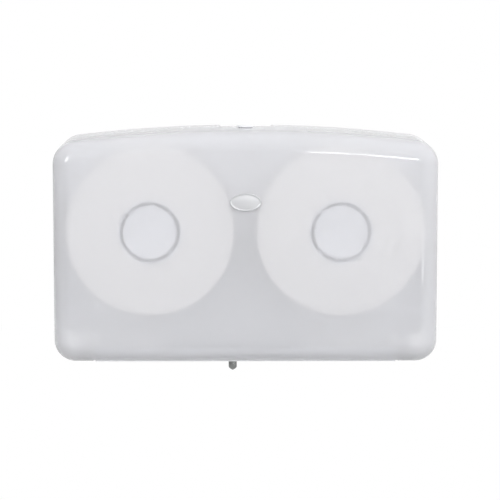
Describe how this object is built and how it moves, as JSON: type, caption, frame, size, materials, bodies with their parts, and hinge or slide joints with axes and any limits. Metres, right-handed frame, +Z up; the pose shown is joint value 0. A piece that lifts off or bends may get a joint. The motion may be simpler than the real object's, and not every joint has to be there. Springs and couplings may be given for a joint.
{
  "type": "double roll toilet paper dispenser",
  "caption": "Wide wall dispenser for two large paper rolls: arched translucent cover hinged at the bottom, rolls on hubs, bottom outlets with a selector slide and knob.",
  "frame": {"origin": "middle of the back plate's rear face, on the wall, level with the middle of the cover's height", "axes": "+X to the right seen from the front, +Z up, +Y out of the back plate into the wall"},
  "size_m": [0.508, 0.1369, 0.3241],
  "materials": {
    "translucent_plastic": "smooth glossy moulded plastic, translucent white with a faint blue tint",
    "white_plastic": "fine moulded satin",
    "grey_plastic": "moulded satin",
    "badge_metal": "satin silver plaque, bare",
    "chrome": "polished",
    "steel": "zinc plated",
    "paper": "soft creped tissue",
    "card": "grey-brown board"
  },
  "bodies": {
    "base": {"back_plate": "white_plastic", "outlet_tray": "white_plastic", "lock_catch": "white_plastic", "tray_screw_1": "steel", "tray_screw_2": "steel", "tray_screw_3": "steel", "tray_screw_4": "steel", "catch_screw_1": "steel", "catch_screw_2": "steel", "hinge_screw_1": "steel", "hinge_screw_2": "steel", "hinge_screw_3": "steel", "hinge_screw_4": "steel", "left_axle": "steel", "left_axle_screw": "steel", "left_tear_strip": "steel", "left_hinge_bracket": "white_plastic", "left_hinge_pin": "steel", "right_axle": "steel", "right_axle_screw": "steel", "right_tear_strip": "steel", "right_hinge_bracket": "white_plastic", "right_hinge_pin": "steel"},
    "cover": {"front_cover": "translucent_plastic", "badge": "badge_metal", "lock_barrel": "grey_plastic", "lock_nut": "grey_plastic"},
    "lock": {"lock_plug": "grey_plastic", "lock_cam": "grey_plastic", "cam_screw": "steel"},
    "slide": {"selector_slide": "grey_plastic", "slide_knob": "chrome", "knob_nut": "steel"},
    "left_roll": {"left_hub": "white_plastic", "left_core": "card", "left_paper_roll": "paper"},
    "right_roll": {"right_hub": "white_plastic", "right_core": "card", "right_paper_roll": "paper"}
  },
  "joints": [
    {"name": "cover_swing", "type": "hinge", "parent": "base", "child": "cover", "pos_m": [0, -0.014, -0.1475], "axis": [1, 0, 0], "range_deg": [0, 90]},
    {"name": "lock_turn", "type": "hinge", "parent": "cover", "child": "lock", "pos_m": [0, -0.05, 0.13], "axis": [0, 0, 1], "range_deg": [0, 90]},
    {"name": "slide_travel", "type": "slide", "parent": "base", "child": "slide", "axis": [1, 0, 0], "range_m": [-0.082, 0.116]},
    {"name": "left_roll_spin", "type": "hinge", "parent": "base", "child": "left_roll", "pos_m": [-0.126, -0.062, 0.016], "axis": [0, 1, 0], "continuous": true},
    {"name": "right_roll_spin", "type": "hinge", "parent": "base", "child": "right_roll", "pos_m": [0.126, -0.062, 0.016], "axis": [0, 1, 0], "continuous": true}
  ]
}
